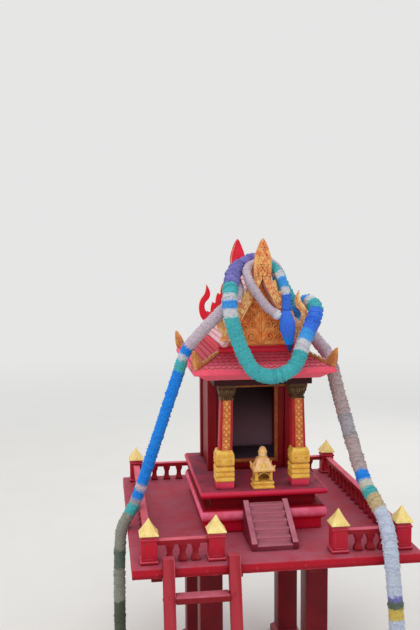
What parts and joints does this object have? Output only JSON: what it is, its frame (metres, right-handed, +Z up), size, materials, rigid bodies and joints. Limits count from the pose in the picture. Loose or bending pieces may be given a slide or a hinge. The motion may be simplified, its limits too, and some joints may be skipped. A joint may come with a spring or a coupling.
{
  "type": "spirit house",
  "caption": "Small red and gold shrine house with a steep gabled roof, porch and stair, on a fenced platform with legs and a ladder.",
  "frame": {"origin": "on the ground, in the middle of the whole footprint: left to right the middle of the platform, front to back halfway from the ladder's foot to the platform's rear edge", "axes": "+Z up, +X to the right seen from the front, +Y to the rear, so that the doorway, stair and ladder face -Y"},
  "size_m": [0.9546, 1.1194, 1.573],
  "materials": {
    "red_paint": "aged gloss paint",
    "dusty_red_paint": "dusty, faded paint",
    "gold_paint": "metallic gold paint",
    "orange_gold_paint": "worn gold paint on red",
    "garland_cloth": "fluffy cloth wound in colour bands"
  },
  "bodies": {
    "root": {"leg_pads": "red_paint", "legs": "red_paint", "cross_beams": "red_paint", "joists": "red_paint", "ladder_rails": "red_paint", "fence_posts": "red_paint", "front_left_fence": "red_paint", "front_right_fence": "red_paint", "left_fence": "red_paint", "right_fence": "red_paint", "rear_fence": "red_paint", "plinth": "red_paint", "chamber_floor": "red_paint", "chamber_posts": "red_paint", "front_wall": "red_paint", "left_wall": "red_paint", "right_wall": "red_paint", "rear_wall": "red_paint", "column_feet": "red_paint", "columns": "red_paint", "ceiling_board": "red_paint", "eave_boards": "red_paint", "attic_block": "red_paint", "ridge_cap": "red_paint", "deck": "dusty_red_paint", "ladder_rungs": "dusty_red_paint", "plinth_slab": "dusty_red_paint", "stair_steps": "dusty_red_paint", "stair_strings": "dusty_red_paint", "skirt_roof": "dusty_red_paint", "left_roof_slope": "dusty_red_paint", "right_roof_slope": "dusty_red_paint", "post_caps": "gold_paint", "door_frame": "gold_paint", "column_bases": "gold_paint", "column_strips": "gold_paint", "column_capitals": "gold_paint", "hip_ridges": "gold_paint", "corner_leaves": "gold_paint", "shrine_base": "gold_paint", "shrine_body": "gold_paint", "shrine_roof": "gold_paint", "front_pediment": "orange_gold_paint", "rear_pediment": "orange_gold_paint", "front_gable_boards": "orange_gold_paint", "rear_gable_boards": "orange_gold_paint", "gable_spires": "orange_gold_paint", "gable_flames": "orange_gold_paint", "left_garland": "garland_cloth", "right_garland": "garland_cloth", "front_garland": "garland_cloth", "spire_garland": "garland_cloth", "garland_ends": "garland_cloth"}
  },
  "joints": []
}
